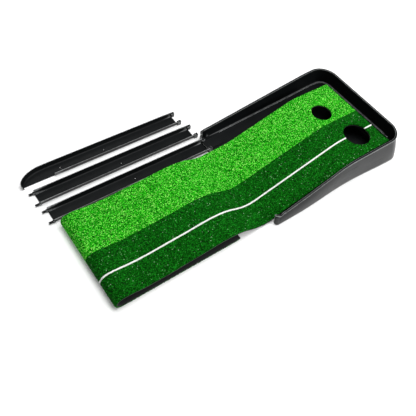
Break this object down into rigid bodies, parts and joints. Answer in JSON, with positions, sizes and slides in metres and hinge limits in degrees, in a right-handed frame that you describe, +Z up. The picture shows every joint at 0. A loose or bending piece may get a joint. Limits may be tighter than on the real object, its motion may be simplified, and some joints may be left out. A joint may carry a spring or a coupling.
{
  "type": "practice putting mat",
  "caption": "Folded two-tone turf strip on a ramped black frame with putting cups, a side return gutter and plug-together ball-return rails.",
  "frame": {"origin": "middle of the whole model's footprint, on the floor, with the loose rails where they lie", "axes": "+X along the mat from the player's end to the cups, +Y across it towards the return rails, +Z up"},
  "size_m": [1.1432, 0.5392, 0.1154],
  "materials": {
    "black_plastic": "satin moulded",
    "foot_rubber": "matt",
    "screw_steel": "zinc plated",
    "hook_tape": "hooked pile",
    "turf_backing": "matt woven",
    "light_pile": "curled pile",
    "dark_pile": "curled pile",
    "white_pile": "curled pile"
  },
  "bodies": {
    "frame": {"frame_wall": "black_plastic", "base_pan": "black_plastic", "deck": "black_plastic", "gutter": "black_plastic", "ball_chute": "black_plastic", "hook_strip_far": "hook_tape", "hook_strip_ramp": "hook_tape", "screw_1": "screw_steel", "screw_2": "screw_steel", "screw_3": "screw_steel", "screw_4": "screw_steel", "screw_5": "screw_steel", "screw_6": "screw_steel", "screw_7": "screw_steel", "screw_8": "screw_steel", "screw_9": "screw_steel", "screw_10": "screw_steel", "foot_1": "foot_rubber", "foot_2": "foot_rubber", "foot_3": "foot_rubber", "foot_4": "foot_rubber", "foot_5": "foot_rubber", "foot_6": "foot_rubber"},
    "turf": {"turf_backing": "turf_backing", "light_band": "light_pile", "dark_band_inner": "dark_pile", "dark_band_outer": "dark_pile", "white_line": "white_pile", "white_line_far": "white_pile"},
    "first_rail": {"rail_1": "black_plastic"},
    "second_rail": {"rail_2": "black_plastic"},
    "last_rail": {"end_rail": "black_plastic"}
  },
  "joints": [
    {"name": "turf_lift", "type": "slide", "parent": "frame", "child": "turf", "axis": [0, 0, 1], "range_m": [0, 0.16]},
    {"name": "rail_1_slide", "type": "slide", "parent": "frame", "child": "first_rail", "axis": [-1, 0, 0], "range_m": [0, 0.56]},
    {"name": "rail_2_slide", "type": "slide", "parent": "frame", "child": "second_rail", "axis": [-1, 0, 0], "range_m": [0, 0.56]},
    {"name": "end_rail_slide", "type": "slide", "parent": "frame", "child": "last_rail", "axis": [-1, 0, 0], "range_m": [0, 0.56]}
  ]
}
